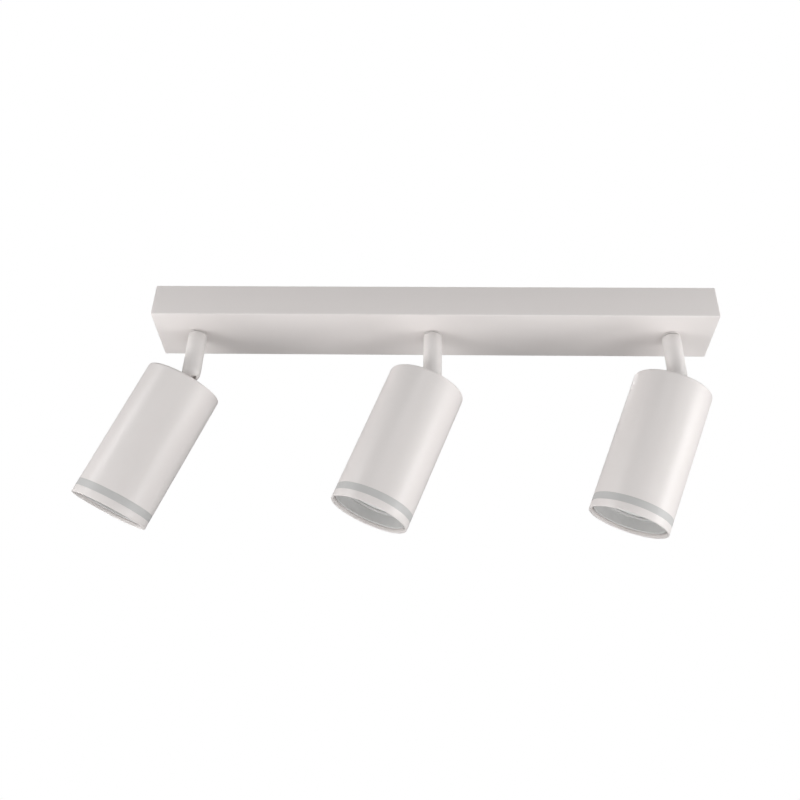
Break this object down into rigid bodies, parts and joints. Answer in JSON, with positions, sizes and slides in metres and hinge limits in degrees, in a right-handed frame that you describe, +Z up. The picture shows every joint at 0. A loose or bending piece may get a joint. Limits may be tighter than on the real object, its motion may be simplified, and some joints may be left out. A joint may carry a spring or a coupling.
{
  "type": "ceiling spotlight bar",
  "caption": "White surface-mounted ceiling bar with cylindrical spotlights on short stems that swivel and tilt, each with a frosted ring near its front.",
  "frame": {"origin": "middle of the mounting bracket's top face, where it meets the ceiling", "axes": "+Z up into the ceiling, +X along the bar, -Y towards the viewer in the picture"},
  "size_m": [0.4855, 0.088, 0.1891],
  "materials": {
    "white_powder_coat": "satin",
    "frosted_acrylic": "matte",
    "zinc_plated_steel": "satin",
    "brass": "satin",
    "spring_steel": "satin",
    "friction_nylon": "satin",
    "terminal_plastic": "satin",
    "lamp_body": "satin",
    "lampholder_ceramic": "matte",
    "lead_insulation": "satin"
  },
  "bodies": {
    "ceiling_base": {"canopy": "white_powder_coat", "ceiling_bracket": "zinc_plated_steel", "end_screw_left": "zinc_plated_steel", "end_screw_right": "zinc_plated_steel", "terminal_block": "terminal_plastic", "terminal_screw": "zinc_plated_steel", "earth_screw": "brass", "base_lead_left": "lead_insulation", "base_lead_middle": "lead_insulation", "base_lead_right": "lead_insulation", "collar_left": "white_powder_coat", "collar_middle": "white_powder_coat", "collar_right": "white_powder_coat"},
    "left_stem": {"stem_left": "white_powder_coat", "nipple_left": "zinc_plated_steel", "stop_washer_left": "zinc_plated_steel", "lock_nut_left": "zinc_plated_steel", "spring_left": "spring_steel", "friction_cup_left": "friction_nylon"},
    "left_spot": {"ball_rod_left": "zinc_plated_steel", "rod_nut_left": "zinc_plated_steel", "housing_left": "white_powder_coat", "acrylic_sleeve_left": "frosted_acrylic", "front_ring_left": "white_powder_coat", "lamp_left": "lamp_body", "lampholder_left": "lampholder_ceramic", "holder_bracket_left": "zinc_plated_steel", "spot_lead_left": "lead_insulation"},
    "middle_stem": {"stem_middle": "white_powder_coat", "nipple_middle": "zinc_plated_steel", "stop_washer_middle": "zinc_plated_steel", "lock_nut_middle": "zinc_plated_steel", "spring_middle": "spring_steel", "friction_cup_middle": "friction_nylon"},
    "middle_spot": {"ball_rod_middle": "zinc_plated_steel", "rod_nut_middle": "zinc_plated_steel", "housing_middle": "white_powder_coat", "acrylic_sleeve_middle": "frosted_acrylic", "front_ring_middle": "white_powder_coat", "lamp_middle": "lamp_body", "lampholder_middle": "lampholder_ceramic", "holder_bracket_middle": "zinc_plated_steel", "spot_lead_middle": "lead_insulation"},
    "right_stem": {"stem_right": "white_powder_coat", "nipple_right": "zinc_plated_steel", "stop_washer_right": "zinc_plated_steel", "lock_nut_right": "zinc_plated_steel", "spring_right": "spring_steel", "friction_cup_right": "friction_nylon"},
    "right_spot": {"ball_rod_right": "zinc_plated_steel", "rod_nut_right": "zinc_plated_steel", "housing_right": "white_powder_coat", "acrylic_sleeve_right": "frosted_acrylic", "front_ring_right": "white_powder_coat", "lamp_right": "lamp_body", "lampholder_right": "lampholder_ceramic", "holder_bracket_right": "zinc_plated_steel", "spot_lead_right": "lead_insulation"}
  },
  "joints": [
    {"name": "left_swivel", "type": "hinge", "parent": "ceiling_base", "child": "left_stem", "pos_m": [-0.1875, 0, -0.03], "axis": [0, 0, 1], "range_deg": [-165, 165]},
    {"name": "left_tilt", "type": "hinge", "parent": "left_stem", "child": "left_spot", "pos_m": [-0.1875, 0, -0.0645], "axis": [0.4462, 0.8949, 0], "range_deg": [-42.5, 62.5]},
    {"name": "middle_swivel", "type": "hinge", "parent": "ceiling_base", "child": "middle_stem", "pos_m": [0, 0, -0.03], "axis": [0, 0, 1], "range_deg": [-165, 165]},
    {"name": "middle_tilt", "type": "hinge", "parent": "middle_stem", "child": "middle_spot", "pos_m": [0, 0, -0.0645], "axis": [0.4147, 0.91, 0], "range_deg": [-39, 66]},
    {"name": "right_swivel", "type": "hinge", "parent": "ceiling_base", "child": "right_stem", "pos_m": [0.1875, 0, -0.03], "axis": [0, 0, 1], "range_deg": [-165, 165]},
    {"name": "right_tilt", "type": "hinge", "parent": "right_stem", "child": "right_spot", "pos_m": [0.1875, 0, -0.0645], "axis": [0.5878, 0.809, 0], "range_deg": [-41, 64]}
  ]
}
